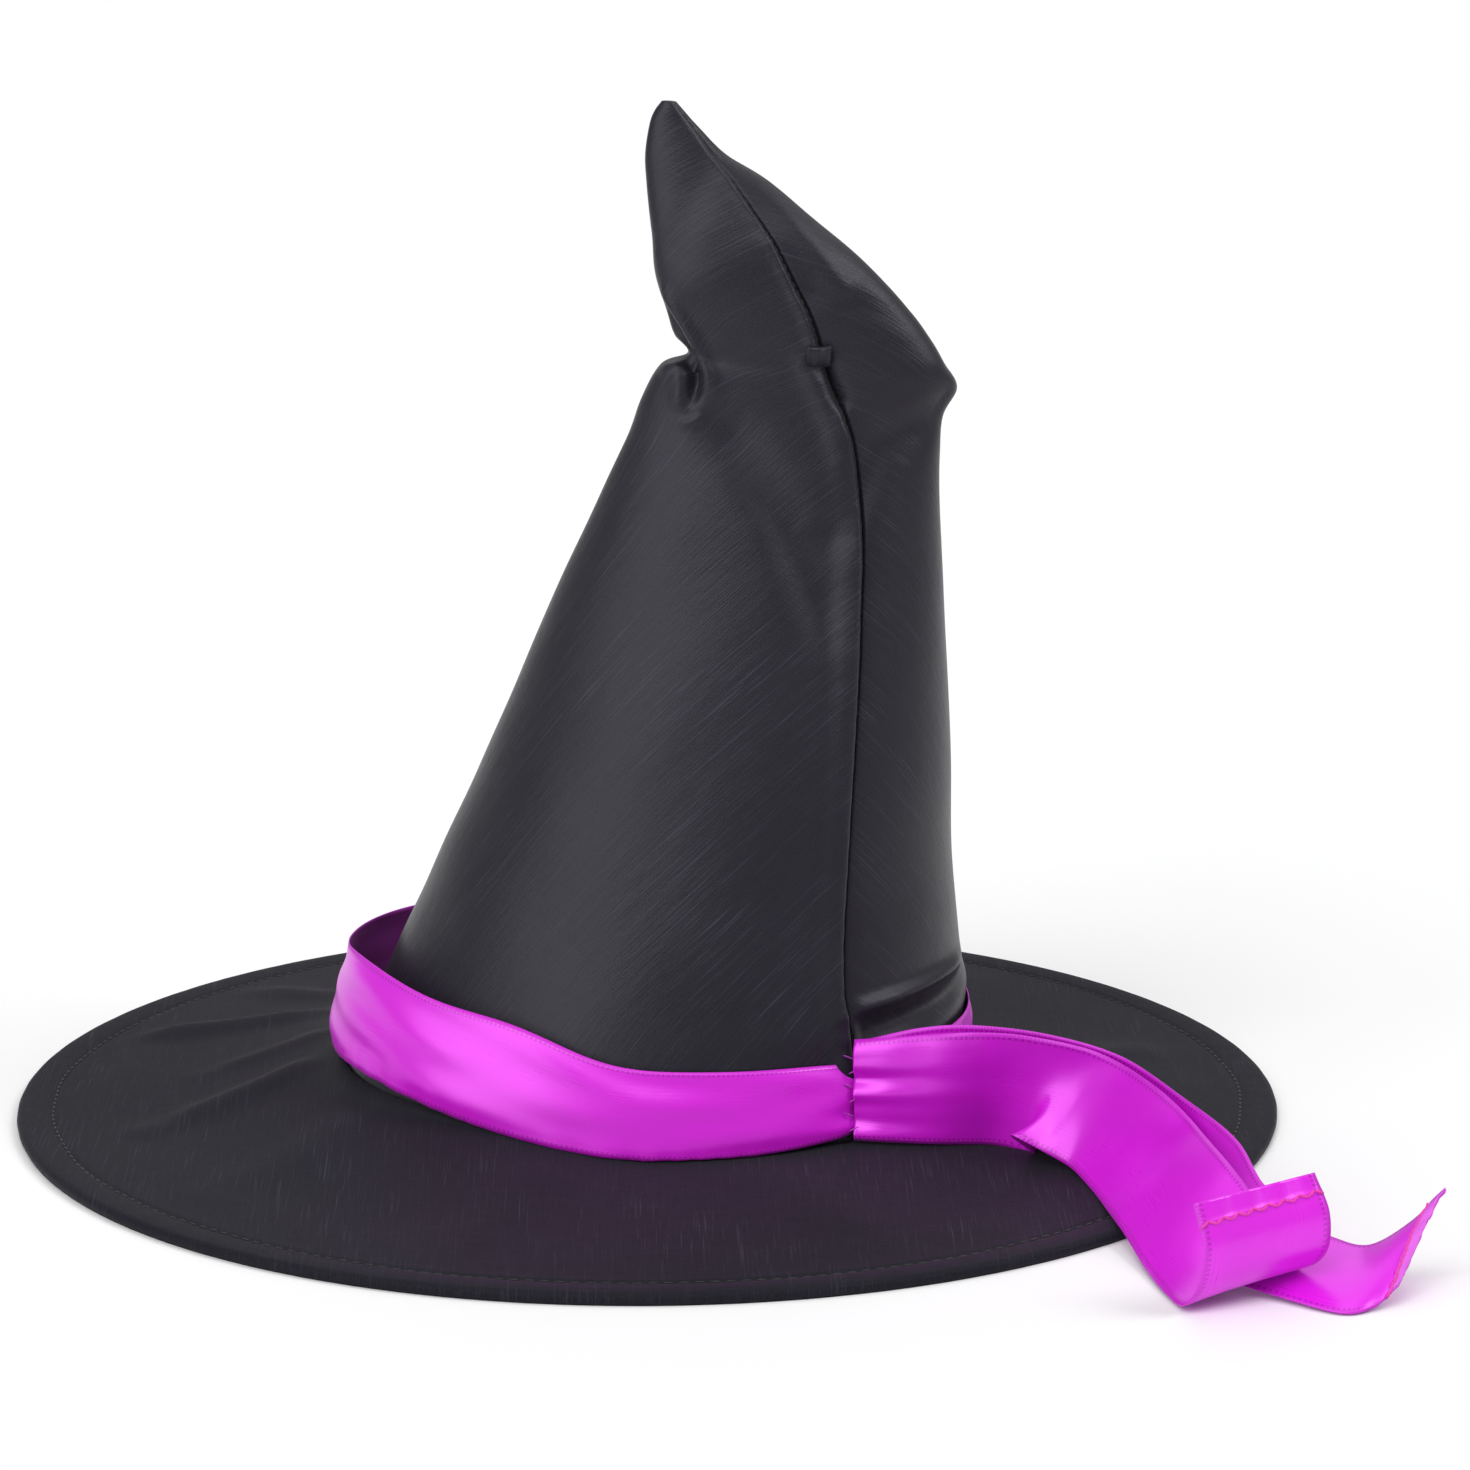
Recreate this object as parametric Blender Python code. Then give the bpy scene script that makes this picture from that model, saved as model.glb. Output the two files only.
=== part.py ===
# Witch hat: soft satin cone with a folded crook, a wired flat brim and a purple ribbon
# whose two ends hang free. The script's unit is the millimetre; MM turns it into metres.
# The origin is the centre of the brim's circle on the floor, +Z is up and -Y is the front.
import math
import bpy
import bmesh
from mathutils import Vector

MM = 0.001

# Cloth layers of the crown, counted inwards from its outer face
SATIN = 0.5
GAP = 0.3
INTERLINING = 0.7
SWEATBAND = 1.0
LABEL = 0.4
CROWN_SIDES = 32
FOLD_STATION = 6
TIP_STATION = 12
LINING_END_STATION = 10
FOLD_GAP = 0.4
SWEATBAND_TOP_STATION = 0.5

# Crown cross-sections from the head opening to the tip:
# (left x, left z), (right x, right z), half depth, centre y
CROWN_SECTIONS = [
    ((-100, 8), (101, 8), 90, 0),
    ((-80, 52), (99, 50), 76, 0),
    ((-45, 129), (94.5, 128), 51, 0),
    ((-17, 190), (92, 190), 29, 0),
    ((-6, 214), (91.5, 210), 22, 0),
    ((2, 232), (93, 222), 18, 0),
    ((11, 241), (96, 230), 16, 0),
    ((8, 247), (91, 241), 15, 0),
    ((3.5, 262), (79, 257), 14, 1),
    ((1, 280), (57, 277), 11, 4),
    ((0, 295), (35, 295), 8, 8),
    ((2, 311), (15, 311), 4.5, 11),
    ((5, 318), (10, 318), 2.2, 12),
]

# Brim: an elliptical head hole in a round disc, two cloth skins around a stiff core
BRIM_RADIUS = 200
BRIM_SIDES = 60
HEAD_FLANGE = 3.2
BRIM_RISE = 4.6
BRIM_FLAT_FROM = 0.87
UNDER_THICK = 0.5
CORE_LEVELS = (1.1, 1.9)
CORE_RADIUS = 196.8
TOP_LEVELS = (2.5, 3.1)
RIM_WALL = 0.6
HOOP_RADIUS = 198.2
HOOP_WIRE = 0.6
HOOP_LEVEL = 1.5
HOOP_JOINT_LENGTH = 8
STITCH_RADIUS = 189
THREAD = 0.25

# Ribbon
RIBBON_THICK = 0.8
BAND_OPEN_DIRECTION = math.radians(150)
TACK_ANGLE = math.radians(-51)
TAIL_STEPS = 3

# Lower edge and upper edge of each free end, from the tack to the hem
TAIL_FRONT = [
    ((66, -75.5, 9), (66, -71.5, 39)),
    ((84, -75, 8.5), (82, -76, 43)),
    ((100, -74, 7.5), (98, -80, 45)),
    ((116, -75, 7), (116, -84, 44)),
    ((127, -89, 6), (135, -95, 41)),
    ((133, -117, 5.2), (155, -116, 35)),
    ((138, -150, 4.8), (163, -148, 31)),
    ((143, -182, 1.6), (168, -172, 26)),
    ((150, -203, 1.2), (180, -186, 9)),
    ((155, -213, 12), (190, -197, 13)),
    ((154, -205, 27), (189, -191, 32)),
]
TAIL_BACK = [
    ((67, -72.3, 9), (67, -67.5, 38)),
    ((84, -71, 8.5), (84, -69, 44)),
    ((101, -69, 7.5), (102, -74, 45.5)),
    ((120, -69, 7), (122, -81, 45)),
    ((134, -82, 6), (143, -95, 42)),
    ((143, -108, 5.5), (160, -123, 36)),
    ((148, -139, 4.8), (171, -145, 31)),
    ((151, -166, 1.4), (177, -164, 23)),
    ((165, -186, 1.2), (187, -169, 15)),
    ((182, -203, 1.2), (196, -174, 11)),
    ((195, -211, 1.2), (206, -179, 10)),
    ((203, -208.5, 1.8), (217, -181, 17)),
    ((210.5, -202.5, 4.5), (228, -178, 25)),
]
TAIL_FRONT_PIVOT = (66, -73.5, 24)
TAIL_BACK_PIVOT = (67, -70, 24)
CROOK_PIVOT = (96.5, 0, 230)
HEM_STITCH_FROM_END = 1 / TAIL_STEPS

# The crown's seam from the band to the tip as (station, angle in degrees), 0 being the right edge
SEAM_LOWER = [(0.85, -50), (1.4, -53), (2, -56), (3, -58), (4, -60), (5, -74), (5.9, -86)]
SEAM_CROOK = [(6.15, -89), (7, -84), (8, -80), (9, -74), (10, -64), (11, -56)]
SEAM_STEPS = 4

# The seam's tuck: station and turn round the cone, step out from the cloth, and its size
TUCK_STATION = 6.5
TUCK_TURN = math.radians(-78)
TUCK_OUT = -1.3
TUCK_SIZE = (7, 0.8, 3)

COLOURS = {
    "black_satin": ((0.030, 0.030, 0.038), 0.42),
    "interlining": ((0.55, 0.54, 0.52), 0.95),
    "purple_satin": ((0.45, 0.015, 0.52), 0.35),
    "black_thread": ((0.02, 0.02, 0.025), 0.7),
    "purple_thread": ((0.62, 0.12, 0.62), 0.6),
    "hoop_plastic": ((0.75, 0.75, 0.73), 0.4),
    "joiner_plastic": ((0.25, 0.25, 0.26), 0.45),
    "sweatband_cloth": ((0.035, 0.035, 0.04), 0.85),
    "label_cloth": ((0.8, 0.8, 0.78), 0.7),
}


def clear_scene():
    for item in list(bpy.data.objects):
        bpy.data.objects.remove(item, do_unlink=True)


def make_material(name):
    colour, roughness = COLOURS[name]
    material = bpy.data.materials.get(name)
    if material is None:
        material = bpy.data.materials.new(name)
        material.use_nodes = True
        shader = material.node_tree.nodes["Principled BSDF"]
        shader.inputs["Base Color"].default_value = (*colour, 1)
        shader.inputs["Roughness"].default_value = roughness
        shader.inputs["Metallic"].default_value = 0
    return material


def add_object(name, data, material, pivot=(0, 0, 0)):
    item = bpy.data.objects.new(name, data)
    data.materials.append(make_material(material))
    bpy.context.scene.collection.objects.link(item)
    item.location = Vector(pivot) * MM
    return item


def mesh_from_loops(name, loops, closed, pivot=(0, 0, 0), ring=True):
    # Joins each loop of points to the next with triangles. A closed row ends where it starts,
    # and an open one gets a face at each end. Without ring the loops are open lines.
    # A shell's outer half comes first and its inner half runs back, so the inner half's
    # diagonals are mirrored and nested shells keep parallel facets.
    shift = Vector(pivot)
    bm = bmesh.new()
    rows = [[bm.verts.new((Vector(p) - shift) * MM) for p in loop] for loop in loops]
    count = len(rows[0])
    last_row = len(rows) if closed else len(rows) - 1
    last_column = count if ring else count - 1
    for i in range(last_row):
        row, after = rows[i], rows[(i + 1) % len(rows)]
        for j in range(last_column):
            k = (j + 1) % count
            if i < len(rows) // 2:
                bm.faces.new((row[j], row[k], after[k]))
                bm.faces.new((row[j], after[k], after[j]))
            else:
                bm.faces.new((row[j], row[k], after[j]))
                bm.faces.new((row[k], after[k], after[j]))
    if ring and not closed:
        bm.faces.new(rows[0])
        bm.faces.new(rows[-1])
    bmesh.ops.recalc_face_normals(bm, faces=bm.faces)
    mesh = bpy.data.meshes.new(name)
    bm.to_mesh(mesh)
    bm.free()
    mesh.shade_smooth()
    mesh.set_sharp_from_angle(angle=math.radians(40))
    return mesh


def smooth_between(values, place):
    # Catmull-Rom curve through evenly spaced values
    last = len(values) - 1
    i = min(int(place), last - 1)
    f = place - i
    p1, p2 = values[i], values[i + 1]
    p0 = values[i - 1] if i > 0 else p1 * 2 - p2
    p3 = values[i + 2] if i + 2 <= last else p2 * 2 - p1
    return (p1 * 2 + (p2 - p0) * f + (p0 * 2 - p1 * 5 + p2 * 4 - p3) * f * f
            + (p1 * 3 - p0 - p2 * 3 + p3) * f ** 3) / 2


def crown_section(station):
    # Centre, half width vector and half depth of the cross-section at a station
    lefts = [Vector((s[0][0], s[3], s[0][1])) for s in CROWN_SECTIONS]
    rights = [Vector((s[1][0], s[3], s[1][1])) for s in CROWN_SECTIONS]
    depths = [Vector((s[2], 0, 0)) for s in CROWN_SECTIONS]
    left = smooth_between(lefts, station)
    right = smooth_between(rights, station)
    return (left + right) / 2, (right - left) / 2, smooth_between(depths, station).x


def crown_point(station, angle, inset=0.0):
    centre, half, depth = crown_section(station)
    width = half.length
    along = half / width
    back = Vector((0, 1, 0))
    normal = (along * depth * math.cos(angle) + back * width * math.sin(angle)).normalized()
    on_face = centre + half * math.cos(angle) + back * depth * math.sin(angle)
    return on_face - normal * inset


def crown_ring(station, inset, lift=0.0):
    half = crown_section(station)[1]
    up = Vector((-half.z, 0, half.x)).normalized()
    step = math.tau / CROWN_SIDES
    return [crown_point(station, k * step, inset) + up * lift for k in range(CROWN_SIDES)]


def crown_rings(stations, inset, lift=0.0):
    # The lift moves only the ring on the fold, so that the two halves stay apart there
    return [crown_ring(s, inset, lift if s == FOLD_STATION else 0.0) for s in stations]


def build_crown():
    lower = [0, SWEATBAND_TOP_STATION] + list(range(1, FOLD_STATION + 1))
    crook = list(range(FOLD_STATION, TIP_STATION + 1))
    hollow = crook[:-1] + [TIP_STATION - 0.5]
    lining = list(range(FOLD_STATION, LINING_END_STATION + 1))
    half_gap = FOLD_GAP / 2
    core = SATIN + GAP
    lining_face = core + INTERLINING
    outer = crown_rings(lower, 0, -half_gap)
    inner = crown_rings(lower, SATIN, -half_gap)
    mesh = mesh_from_loops("crown_lower", outer + inner[::-1], True)
    add_object("crown_lower", mesh, "black_satin")

    outer = crown_rings(lower, core, -half_gap)
    inner = crown_rings(lower, lining_face, -half_gap)
    mesh = mesh_from_loops("crown_interlining_lower", outer + inner[::-1], True)
    add_object("crown_interlining_lower", mesh, "interlining")

    outer = crown_rings(crook, 0, half_gap)
    inner = crown_rings(hollow, SATIN, half_gap)
    mesh = mesh_from_loops("crown_crook", outer[::-1] + inner, False, CROOK_PIVOT)
    add_object("crown_crook", mesh, "black_satin", CROOK_PIVOT)

    outer = crown_rings(lining, core, half_gap)
    inner = crown_rings(lining, lining_face, half_gap)
    mesh = mesh_from_loops("crown_interlining_crook", outer[::-1] + inner, True, CROOK_PIVOT)
    add_object("crown_interlining_crook", mesh, "interlining", CROOK_PIVOT)


def build_head_opening():
    face = SATIN + 2 * GAP + INTERLINING
    outer = crown_rings([0, SWEATBAND_TOP_STATION], face)
    inner = crown_rings([0, SWEATBAND_TOP_STATION], face + SWEATBAND)
    mesh = mesh_from_loops("sweatband", outer + inner[::-1], True)
    add_object("sweatband", mesh, "sweatband_cloth")

    face = face + SWEATBAND + 2 * GAP
    angles = [math.pi / 2 + k * math.tau / CROWN_SIDES for k in (-1, 0, 1)]
    stations = [0.1, 0.3, SWEATBAND_TOP_STATION]
    loops = []
    for angle in angles:
        near = [crown_point(s, angle, face) for s in stations]
        far = [crown_point(s, angle, face + LABEL) for s in stations]
        loops.append(near + far[::-1])
    mesh = mesh_from_loops("care_label", loops, False)
    add_object("care_label", mesh, "label_cloth")


def brim_point(share, angle, level, rim):
    # Share runs from the head hole, 0, to the rim, 1; level is the height in the cloth stack
    centre, half, depth = crown_section(0)
    hole = Vector((centre.x + (half.x - HEAD_FLANGE) * math.cos(angle),
                   (depth - HEAD_FLANGE) * math.sin(angle), 0))
    edge = Vector((rim * math.cos(angle), rim * math.sin(angle), 0))
    place = hole.lerp(edge, share)
    rise = BRIM_RISE * max(0.0, 1 - share / BRIM_FLAT_FROM) ** 1.2
    return place + Vector((0, 0, rise + level))


def brim_ring(share, level, rim):
    step = math.tau / BRIM_SIDES
    return [brim_point(share, k * step, level, rim) for k in range(BRIM_SIDES)]


def build_brim():
    shares = [0, 0.4, BRIM_FLAT_FROM]
    lower = [brim_ring(s, 0, BRIM_RADIUS - 0.2) for s in shares + [1]]
    upper = [brim_ring(s, UNDER_THICK, BRIM_RADIUS - 0.2) for s in shares + [1]]
    add_object("brim_under", mesh_from_loops("brim_under", lower + upper[::-1], True), "black_satin")

    lower = [brim_ring(s, CORE_LEVELS[0], CORE_RADIUS) for s in shares + [1]]
    upper = [brim_ring(s, CORE_LEVELS[1], CORE_RADIUS) for s in shares + [1]]
    mesh = mesh_from_loops("brim_interlining", lower + upper[::-1], True)
    add_object("brim_interlining", mesh, "interlining")

    bottom, top = TOP_LEVELS
    skirt = UNDER_THICK + GAP
    upper = [brim_ring(s, top, BRIM_RADIUS) for s in shares]
    rim_line = [(BRIM_RADIUS - 0.8, top), (BRIM_RADIUS, top - 0.7), (BRIM_RADIUS, skirt),
                (BRIM_RADIUS - RIM_WALL, skirt), (BRIM_RADIUS - RIM_WALL, bottom - 0.2),
                (BRIM_RADIUS - RIM_WALL - 0.4, bottom)]
    around = [brim_ring(1, level, radius) for radius, level in rim_line]
    lower = [brim_ring(s, bottom, BRIM_RADIUS) for s in shares]
    mesh = mesh_from_loops("brim_top", upper + around + lower[::-1], True)
    add_object("brim_top", mesh, "black_satin")


def add_cord(name, points, radius, material, cyclic=False, sides=2, pivot=(0, 0, 0)):
    curve = bpy.data.curves.new(name, "CURVE")
    curve.dimensions = "3D"
    curve.bevel_depth = radius * MM
    curve.bevel_resolution = sides
    curve.use_fill_caps = not cyclic
    spline = curve.splines.new("POLY")
    spline.points.add(len(points) - 1)
    for target, point in zip(spline.points, points):
        target.co = (*((Vector(point) - Vector(pivot)) * MM), 1)
    spline.use_cyclic_u = cyclic
    return add_object(name, curve, material, pivot)


def on_circle(radius, angle, level):
    return Vector((radius * math.cos(angle), radius * math.sin(angle), level))


def build_brim_wire():
    # The hoop's two ends butt against the joiner at the back
    middle = math.pi / 2
    half = (HOOP_JOINT_LENGTH / 2 + GAP) / HOOP_RADIUS
    steps = BRIM_SIDES
    span = math.tau - 2 * half
    line = [on_circle(HOOP_RADIUS, middle + half + span * k / steps, HOOP_LEVEL)
            for k in range(steps + 1)]
    add_cord("brim_hoop", line, HOOP_WIRE, "hoop_plastic", sides=1)

    bpy.ops.mesh.primitive_cylinder_add(vertices=12, radius=(HOOP_WIRE + 0.1) * MM,
                                        depth=HOOP_JOINT_LENGTH * MM,
                                        rotation=(0, math.pi / 2, 0),
                                        location=on_circle(HOOP_RADIUS, middle, HOOP_LEVEL) * MM)
    joiner = bpy.context.object
    joiner.name = "hoop_joiner"
    joiner.data.name = "hoop_joiner"
    joiner.data.materials.append(make_material("joiner_plastic"))

    level = TOP_LEVELS[1] + GAP + THREAD
    step = math.tau / BRIM_SIDES
    line = [on_circle(STITCH_RADIUS, k * step, level) for k in range(BRIM_SIDES)]
    add_cord("brim_topstitch", line, THREAD, "black_thread", cyclic=True, sides=1)


def band_ring(height, inset):
    # The ribbon sits on the brim in front and rides up and stands off at the back left
    points = []
    for k in range(CROWN_SIDES):
        angle = math.tau * k / CROWN_SIDES
        lift = (1 + math.cos(angle - BAND_OPEN_DIRECTION)) / 2
        level = 8.8 + 12 * lift ** 1.5 + height * (28.5 + 8 * lift)
        across = 102.3 - 3.65 * height - inset
        deep = 92 - 8 * height - inset
        points.append(Vector((0.5 + 3.15 * height + across * math.cos(angle),
                              deep * math.sin(angle), level)))
    return points


def build_band():
    outer = [band_ring(h, 0) for h in (0, 0.5, 1)]
    inner = [band_ring(h, RIBBON_THICK) for h in (0, 0.5, 1)]
    add_object("hat_band", mesh_from_loops("hat_band", outer + inner[::-1], True), "purple_satin")

    foot, head = [Vector((0.5 + 3.15 * h + (103.2 - 3.65 * h) * math.cos(TACK_ANGLE - 0.05),
                          (92.9 - 8 * h) * math.sin(TACK_ANGLE - 0.05), 0)) for h in (0.1, 0.9)]
    foot.z, head.z = 13, 34
    add_cord("band_tack", [foot.lerp(head, k / 3) for k in range(4)], THREAD, "purple_thread")


def tail_line(edges, side):
    points = [Vector(edge[side]) for edge in edges]
    last = (len(points) - 1) * TAIL_STEPS
    return [smooth_between(points, k / TAIL_STEPS) for k in range(last + 1)]


def build_tail(name, edges, pivot):
    lower = tail_line(edges, 0)
    upper = tail_line(edges, 1)
    lines = [[low, low.lerp(high, 0.5), high] for low, high in zip(lower, upper)]
    mesh = mesh_from_loops(name, lines, False, pivot, ring=False)
    tail = add_object(name, mesh, "purple_satin", pivot)
    thick = tail.modifiers.new("cloth", "SOLIDIFY")
    thick.thickness = RIBBON_THICK * MM
    thick.offset = 0
    thick.use_even_offset = True


def build_hem_stitch(name, edges, pivot, side):
    # A row of stitches across the ribbon, on the face that the sign of side picks
    points = [[Vector(p) for p in edge] for edge in edges]
    place = len(edges) - 1 - HEM_STITCH_FROM_END
    low = smooth_between([p[0] for p in points], place)
    high = smooth_between([p[1] for p in points], place)
    ahead = smooth_between([p[0] for p in points], place + 0.2) - low
    out = (high - low).cross(ahead).normalized() * side * (RIBBON_THICK / 2 + 3 * GAP + THREAD)
    line = [low.lerp(high, share) + out for share in (0.1, 0.5, 0.9)]
    add_cord(name, line, THREAD, "purple_thread", pivot=pivot)


def build_seam():
    out = -(GAP + 2 * THREAD)
    for name, route, pivot in (("crown_seam_lower", SEAM_LOWER, (0, 0, 0)),
                               ("crown_seam_crook", SEAM_CROOK, CROOK_PIVOT)):
        places = [Vector((station, angle, 0)) for station, angle in route]
        last = (len(places) - 1) * SEAM_STEPS
        line = []
        for k in range(last + 1):
            place = smooth_between(places, k / SEAM_STEPS)
            line.append(crown_point(place.x, math.radians(place.y), out))
        add_cord(name, line, THREAD, "black_thread", sides=1, pivot=pivot)


def build_seam_tab():
    # A narrow tuck of the seam's cloth just above the fold
    place = crown_point(TUCK_STATION, TUCK_TURN, TUCK_OUT)
    bpy.ops.mesh.primitive_cube_add(size=MM, location=place * MM)
    tab = bpy.context.object
    tab.name = "seam_tab"
    tab.data.name = "seam_tab"
    for vertex in tab.data.vertices:
        vertex.co = [reach * size for reach, size in zip(vertex.co, TUCK_SIZE)]
    tab.data.materials.append(make_material("black_satin"))


def main():
    clear_scene()
    build_crown()
    build_head_opening()
    build_brim()
    build_brim_wire()
    build_band()
    build_tail("ribbon_tail_front", TAIL_FRONT, TAIL_FRONT_PIVOT)
    build_tail("ribbon_tail_back", TAIL_BACK, TAIL_BACK_PIVOT)
    build_hem_stitch("hem_stitch_front", TAIL_FRONT, TAIL_FRONT_PIVOT, 1)
    build_hem_stitch("hem_stitch_back", TAIL_BACK, TAIL_BACK_PIVOT, 1)
    build_seam()
    build_seam_tab()


main()
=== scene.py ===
import math

import bmesh
import bpy
import numpy as np
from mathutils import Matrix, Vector


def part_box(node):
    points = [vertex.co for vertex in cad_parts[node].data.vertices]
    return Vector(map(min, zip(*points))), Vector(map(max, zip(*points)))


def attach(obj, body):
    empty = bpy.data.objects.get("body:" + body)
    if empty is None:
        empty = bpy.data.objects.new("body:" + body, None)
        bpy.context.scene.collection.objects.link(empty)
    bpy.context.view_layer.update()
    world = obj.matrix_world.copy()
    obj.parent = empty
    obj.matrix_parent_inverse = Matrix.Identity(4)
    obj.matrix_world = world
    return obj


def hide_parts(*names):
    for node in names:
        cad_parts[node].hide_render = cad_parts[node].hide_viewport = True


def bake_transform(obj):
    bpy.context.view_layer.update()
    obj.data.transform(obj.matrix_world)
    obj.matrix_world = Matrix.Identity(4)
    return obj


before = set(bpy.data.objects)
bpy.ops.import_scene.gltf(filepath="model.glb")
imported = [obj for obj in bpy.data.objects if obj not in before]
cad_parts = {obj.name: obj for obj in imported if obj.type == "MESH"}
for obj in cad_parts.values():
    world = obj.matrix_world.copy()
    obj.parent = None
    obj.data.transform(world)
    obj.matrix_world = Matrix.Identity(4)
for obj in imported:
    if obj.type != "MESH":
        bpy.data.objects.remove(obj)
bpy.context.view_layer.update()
mm = 0.001


def throughPoints(values, places):
    # smooth curve through evenly spaced rows of numbers, read at any places along it
    rows = np.asarray(values, float)
    last = len(rows) - 1
    i = np.clip(np.floor(places).astype(int), 0, last - 1)
    f = (np.asarray(places, float) - i)[:, None]
    before = np.vstack([2 * rows[:1] - rows[1:2], rows, 2 * rows[-1:] - rows[-2:-1]])
    p0, p1, p2, p3 = before[i], before[i + 1], before[i + 2], before[i + 3]
    return 0.5 * (2 * p1 + (p2 - p0) * f + (2 * p0 - 5 * p1 + 4 * p2 - p3) * f ** 2
                  + (3 * p1 - p0 - 3 * p2 + p3) * f ** 3)


def bell(distance, width):
    return np.exp(-(distance / width) ** 2)


def ramp(value, low, high):
    t = np.clip((value - low) / (high - low), 0, 1)
    return t * t * (3 - 2 * t)


def nearLine(x, z, points):
    # distance to a broken line in the front view, and how far along it the nearest point is, 0 to 1
    best = np.full(x.shape, 1e9)
    along = np.zeros(x.shape)
    lengths = [math.dist(a, b) for a, b in zip(points, points[1:])]
    gone = 0.0
    for (ax, az), (bx, bz), length in zip(points, points[1:], lengths):
        t = np.clip(((x - ax) * (bx - ax) + (z - az) * (bz - az)) / length ** 2, 0, 1)
        away = np.hypot(x - ax - t * (bx - ax), z - az - t * (bz - az))
        closer = away < best
        best = np.where(closer, away, best)
        along = np.where(closer, (gone + t * length) / sum(lengths), along)
        gone += length
    return best, along


def lengthAlong(line):
    return np.concatenate([[0], np.cumsum(np.linalg.norm(np.diff(line, axis=0), axis=1))])


def readAlong(line, lengths, spots):
    return np.column_stack([np.interp(spots, lengths, line[:, k]) for k in range(3)])


def gridNormals(points, around):
    # unit normals of a grid of points; around says that the columns meet again
    if around:
        wide = np.concatenate([points[:, -1:], points, points[:, :1]], axis=1)
        across = wide[:, 2:] - wide[:, :-2]
    else:
        across = np.gradient(points, axis=1)
    along = np.gradient(points, axis=0)
    normals = np.cross(across, along)
    return normals / np.maximum(np.linalg.norm(normals, axis=2, keepdims=True), 1e-9)


def waves(seed, count, low, high):
    # a handful of seeded sine waves, as (frequency x, frequency y, phase) rows
    rng = np.random.default_rng(seed)
    return np.column_stack([rng.uniform(low, high, (count, 2)) * rng.choice([-1, 1], (count, 2)),
                            rng.uniform(0, math.tau, count)])


def ripple(table, a, b):
    total = np.zeros(np.broadcast(a, b).shape)
    for fa, fb, phase in table:
        total += np.sin(fa * a + fb * b + phase)
    return total / math.sqrt(len(table))


def sheetFromGrid(name, points, flat, around=False):
    # one cloth from a grid of points in millimetres; flat holds each point's place in the cut, in metres
    rows, cols = points.shape[:2]
    mesh = bpy.data.meshes.new(name)
    corners = []
    lastCol = cols if around else cols - 1
    for i in range(rows - 1):
        for j in range(lastCol):
            k = (j + 1) % cols
            corners.append((i * cols + j, i * cols + k, (i + 1) * cols + k, (i + 1) * cols + j))
    mesh.from_pydata((points.reshape(-1, 3) * mm).tolist(), [], corners)
    layer = mesh.uv_layers.new(name="cut")
    wanted = []
    for i in range(rows - 1):
        for j in range(lastCol):
            for r, c in ((i, j), (i, j + 1), (i + 1, j + 1), (i + 1, j)):
                wanted.append(flat[r, c])
    layer.data.foreach_set("uv", np.asarray(wanted, np.float32).ravel())
    mesh.shade_smooth()
    piece = bpy.data.objects.new(name, mesh)
    bpy.context.scene.collection.objects.link(piece)
    return piece


def giveThickness(piece, thickness, offset=-1.0, insidePaint=0):
    bpy.ops.object.select_all(action="DESELECT")
    piece.select_set(True)
    bpy.context.view_layer.objects.active = piece
    wall = piece.modifiers.new("cloth thickness", "SOLIDIFY")
    wall.thickness = thickness * mm
    wall.offset = offset
    wall.material_offset = insidePaint
    bpy.ops.object.modifier_apply(modifier=wall.name)


def threadPiece(name, places, size, material):
    # one stitch is shaped and copied to every place: (middle, direction, outward normal)
    length, width, height = size
    bpy.ops.object.select_all(action="DESELECT")
    bpy.ops.mesh.primitive_uv_sphere_add(segments=8, ring_count=6, radius=0.5, location=(0, 0, 0))
    stitch = bpy.context.object
    bpy.ops.object.mode_set(mode="EDIT")
    bpy.ops.mesh.select_all(action="SELECT")
    bpy.ops.transform.resize(value=(width * mm, height * mm, length * mm))
    bpy.ops.object.mode_set(mode="OBJECT")
    shape = np.array([v.co for v in stitch.data.vertices])
    faces = [tuple(p.vertices) for p in stitch.data.polygons]
    bpy.data.objects.remove(stitch, do_unlink=True)
    points, corners = [], []
    for middle, direction, out in places:
        forward = np.asarray(direction, float)
        forward = forward / np.linalg.norm(forward)
        up = np.asarray(out, float) - np.dot(out, forward) * forward
        up = up / np.linalg.norm(up)
        side = np.cross(up, forward)
        start = len(points) * len(shape)
        points.append(np.asarray(middle) * mm + shape @ np.array([side, up, forward]))
        corners.extend(tuple(c + start for c in face) for face in faces)
    mesh = bpy.data.meshes.new(name)
    mesh.from_pydata(np.vstack(points).tolist(), [], corners)
    mesh.shade_smooth()
    piece = bpy.data.objects.new(name, mesh)
    bpy.context.scene.collection.objects.link(piece)
    mesh.materials.append(material)
    return piece


class Value:
    # a number socket that takes part in ordinary sums

    def __init__(self, paint, socket):
        self.paint = paint
        self.socket = socket

    def sum(self, operation, first, second):
        node = self.paint.node("ShaderNodeMath", {"operation": operation}, {0: first, 1: second})
        return Value(self.paint, node.outputs[0])

    def __add__(self, other):
        return self.sum("ADD", self, other)

    def __radd__(self, other):
        return self.sum("ADD", other, self)

    def __sub__(self, other):
        return self.sum("SUBTRACT", self, other)

    def __rsub__(self, other):
        return self.sum("SUBTRACT", other, self)

    def __mul__(self, other):
        return self.sum("MULTIPLY", self, other)

    def __rmul__(self, other):
        return self.sum("MULTIPLY", other, self)

    def above(self, edge):
        return self.sum("GREATER_THAN", self, edge)

    def wave(self, frequency):
        return self.sum("SINE", self * frequency, 0.0)

    def smallest(self, other):
        return self.sum("MINIMUM", self, other)

    def largest(self, other):
        return self.sum("MAXIMUM", self, other)

    def clipped(self):
        return self.largest(0.0).smallest(1.0)


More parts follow.
